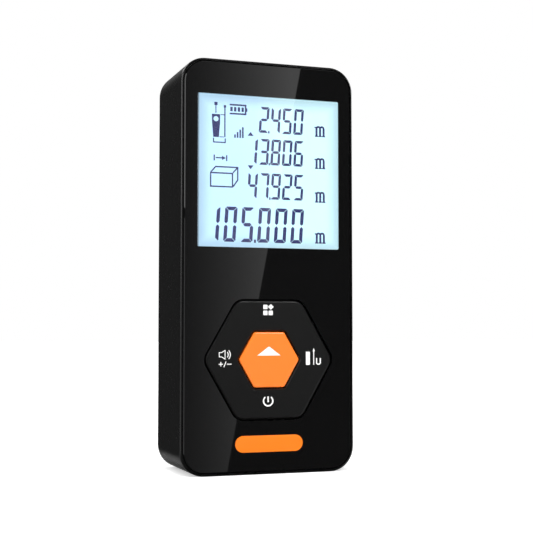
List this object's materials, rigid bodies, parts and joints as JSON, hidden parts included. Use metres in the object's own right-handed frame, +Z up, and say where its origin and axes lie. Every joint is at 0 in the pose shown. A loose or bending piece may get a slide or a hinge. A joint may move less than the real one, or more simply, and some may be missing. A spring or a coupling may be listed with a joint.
{
  "type": "laser distance meter",
  "caption": "Pocket laser distance meter with a backlit display, a rocking function ring round a start key, an optical window in its top end and a hinged battery door.",
  "frame": {"origin": "centre of the bottom end, on the plane that the meter stands on", "axes": "+Z up along the body towards the top end and its optical window, +X to the right of someone who faces the display, +Y from the display towards the back"},
  "size_m": [0.05, 0.0263, 0.113],
  "materials": {
    "housing_black": "satin moulded",
    "panel_black": "high gloss",
    "window_clear": "clear acrylic",
    "badge_orange": "gloss",
    "key_orange": "satin",
    "key_black": "satin",
    "silicone_grey": "matte",
    "foam_black": "foam",
    "tape_black": "film",
    "dome_steel": "stamped",
    "film_clear": "film",
    "display_face": "backlit film",
    "display_glass": "clear",
    "guide_clear": "clear acrylic",
    "white_plastic": "satin",
    "strip_red": "elastomer",
    "board_green": "solder mask",
    "chip_black": "moulded",
    "can_steel": "tinned",
    "screw_steel": "nickel-plated",
    "socket_cream": "moulded",
    "chassis_black": "glass-filled",
    "barrel_brass": "turned",
    "lens_glass": "coated",
    "cable_amber": "polyimide",
    "port_glass": "dark red filter",
    "cell_jacket": "printed film",
    "contact_nickel": "nickel-plated"
  },
  "bodies": {
    "root": {"main_housing": "housing_black", "rear_cover": "housing_black", "housing_seal": "foam_black", "case_screws": "screw_steel", "front_panel": "panel_black", "panel_tape": "tape_black", "display_window": "window_clear", "badge_plate": "badge_orange", "start_dome": "dome_steel", "vertical_domes": "dome_steel", "side_domes": "dome_steel", "dome_film": "film_clear", "display_gasket": "foam_black", "front_polarizer": "display_face", "display_glass": "display_glass", "rear_polarizer": "display_face", "light_guide": "guide_clear", "reflector_sheet": "white_plastic", "display_holder": "white_plastic", "contact_strip": "strip_red", "backlight_lamps": "white_plastic", "main_board": "board_green", "controller_chip": "chip_black", "board_chips": "chip_black", "clock_crystal": "can_steel", "buzzer": "chip_black", "shield_can": "can_steel", "board_socket": "socket_cream", "board_screws": "screw_steel", "optics_chassis": "chassis_black", "chassis_screws": "screw_steel", "laser_barrel": "barrel_brass", "laser_diode": "barrel_brass", "beam_lens": "lens_glass", "receiver_lens": "lens_glass", "lens_ring": "chassis_black", "receiver_board": "board_green", "light_sensor": "can_steel", "sensor_cable": "cable_amber", "port_window": "port_glass", "port_seal": "foam_black", "battery_cells": "cell_jacket", "bridge_contact": "contact_nickel", "plus_contact": "contact_nickel", "minus_contact": "contact_nickel"},
    "start_key": {"start_key": "key_orange"},
    "ring_pad": {"ring_pad": "silicone_grey"},
    "ring_key": {"ring_key": "key_black"},
    "battery_door": {"battery_door": "housing_black", "door_latch": "housing_black", "door_pad": "foam_black"}
  },
  "joints": [
    {"name": "start_press", "type": "slide", "parent": "root", "child": "start_key", "axis": [0, 1, 0], "range_m": [0, 0.0004], "stiffness_N_per_m": 5000, "springref_m": -0.0002, "deforming": ["start_dome"]},
    {"name": "ring_side_rock", "type": "hinge", "parent": "root", "child": "ring_pad", "pos_m": [0, -0.0079, 0.031], "axis": [0, 0, 1], "range_deg": [-1.5, 1.5], "stiffness_Nm_per_rad": 1.2, "deforming": ["side_domes"]},
    {"name": "ring_tilt_rock", "type": "hinge", "parent": "ring_pad", "child": "ring_key", "pos_m": [0, -0.00915, 0.031], "axis": [1, 0, 0], "range_deg": [-1.5, 1.5], "stiffness_Nm_per_rad": 1.2, "deforming": ["vertical_domes"]},
    {"name": "battery_door_hinge", "type": "hinge", "parent": "root", "child": "battery_door", "pos_m": [0, 0.01225, 0.00475], "axis": [-1, 0, 0], "range_deg": [0, 75], "deforming": ["door_latch"]}
  ]
}
